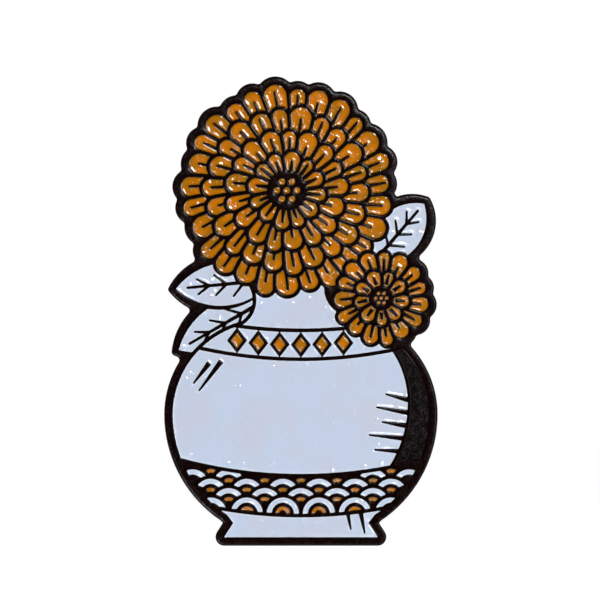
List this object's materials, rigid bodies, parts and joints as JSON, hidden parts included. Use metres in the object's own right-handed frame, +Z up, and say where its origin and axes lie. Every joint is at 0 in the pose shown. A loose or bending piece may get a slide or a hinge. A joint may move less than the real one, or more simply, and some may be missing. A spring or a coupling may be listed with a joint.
{
  "type": "lapel pin",
  "caption": "Soft enamel lapel pin: raised black line work round coloured enamel, with spike posts and butterfly clutches.",
  "frame": {"origin": "middle of the plate's flat back, which lies against the cloth", "axes": "+Y out of the back along the posts, so the face looks along -Y; +Z up as worn"},
  "size_m": [0.0296, 0.0105, 0.0508],
  "materials": {
    "black_plate": "black dyed metal, glossy on the raised lines",
    "orange_enamel": "cured soft enamel, glossy",
    "pale_enamel": "cured soft enamel, glossy",
    "post_metal": "nickel plated",
    "solder": "dull tin solder",
    "clutch_metal": "pressed sheet brass, bright",
    "spring_wire": "drawn wire"
  },
  "bodies": {
    "plate": {"base_plate": "black_plate", "inner_petals": "orange_enamel", "second_petals": "orange_enamel", "third_petals": "orange_enamel", "outer_petals": "orange_enamel", "seeds": "orange_enamel", "side_bloom_inner_petals": "orange_enamel", "side_bloom_outer_petals": "orange_enamel", "side_seeds": "orange_enamel", "vase_lozenges": "orange_enamel", "wave_cores": "orange_enamel", "leaves": "pale_enamel", "vase_neck": "pale_enamel", "vase_collar": "pale_enamel", "vase_belly": "pale_enamel", "vase_foot": "pale_enamel", "wave_fans": "pale_enamel", "upper_post": "post_metal", "upper_solder": "solder", "lower_post": "post_metal", "lower_solder": "solder"},
    "upper_clutch": {"upper_clutch_base": "clutch_metal", "upper_clutch_cap": "clutch_metal", "upper_spring": "spring_wire"},
    "upper_left_wing_body": {"upper_left_wing": "clutch_metal"},
    "upper_right_wing_body": {"upper_right_wing": "clutch_metal"},
    "lower_clutch": {"lower_clutch_base": "clutch_metal", "lower_clutch_cap": "clutch_metal", "lower_spring": "spring_wire"},
    "lower_left_wing_body": {"lower_left_wing": "clutch_metal"},
    "lower_right_wing_body": {"lower_right_wing": "clutch_metal"}
  },
  "joints": [
    {"name": "upper_clutch_slide", "type": "slide", "parent": "plate", "child": "upper_clutch", "axis": [0, 1, 0], "range_m": [-0.0018, 0.008]},
    {"name": "upper_left_wing_pinch", "type": "hinge", "parent": "upper_clutch", "child": "upper_left_wing_body", "pos_m": [-0.00242, 0.005, 0.0116], "axis": [0, 0, -1], "range_deg": [0, 10], "stiffness_Nm_per_rad": 0.005, "deforming": ["upper_spring"]},
    {"name": "upper_right_wing_pinch", "type": "hinge", "parent": "upper_clutch", "child": "upper_right_wing_body", "pos_m": [0.00242, 0.005, 0.0116], "axis": [0, 0, 1], "range_deg": [0, 10], "stiffness_Nm_per_rad": 0.005},
    {"name": "lower_clutch_slide", "type": "slide", "parent": "plate", "child": "lower_clutch", "axis": [0, 1, 0], "range_m": [-0.0018, 0.008]},
    {"name": "lower_left_wing_pinch", "type": "hinge", "parent": "lower_clutch", "child": "lower_left_wing_body", "pos_m": [-0.00242, 0.005, -0.0124], "axis": [0, 0, -1], "range_deg": [0, 10], "stiffness_Nm_per_rad": 0.005, "deforming": ["lower_spring"]},
    {"name": "lower_right_wing_pinch", "type": "hinge", "parent": "lower_clutch", "child": "lower_right_wing_body", "pos_m": [0.00242, 0.005, -0.0124], "axis": [0, 0, 1], "range_deg": [0, 10], "stiffness_Nm_per_rad": 0.005}
  ],
  "couplings": [
    {"joint": "upper_right_wing_pinch", "follows": "upper_left_wing_pinch", "ratio": 1},
    {"joint": "lower_right_wing_pinch", "follows": "lower_left_wing_pinch", "ratio": 1}
  ]
}
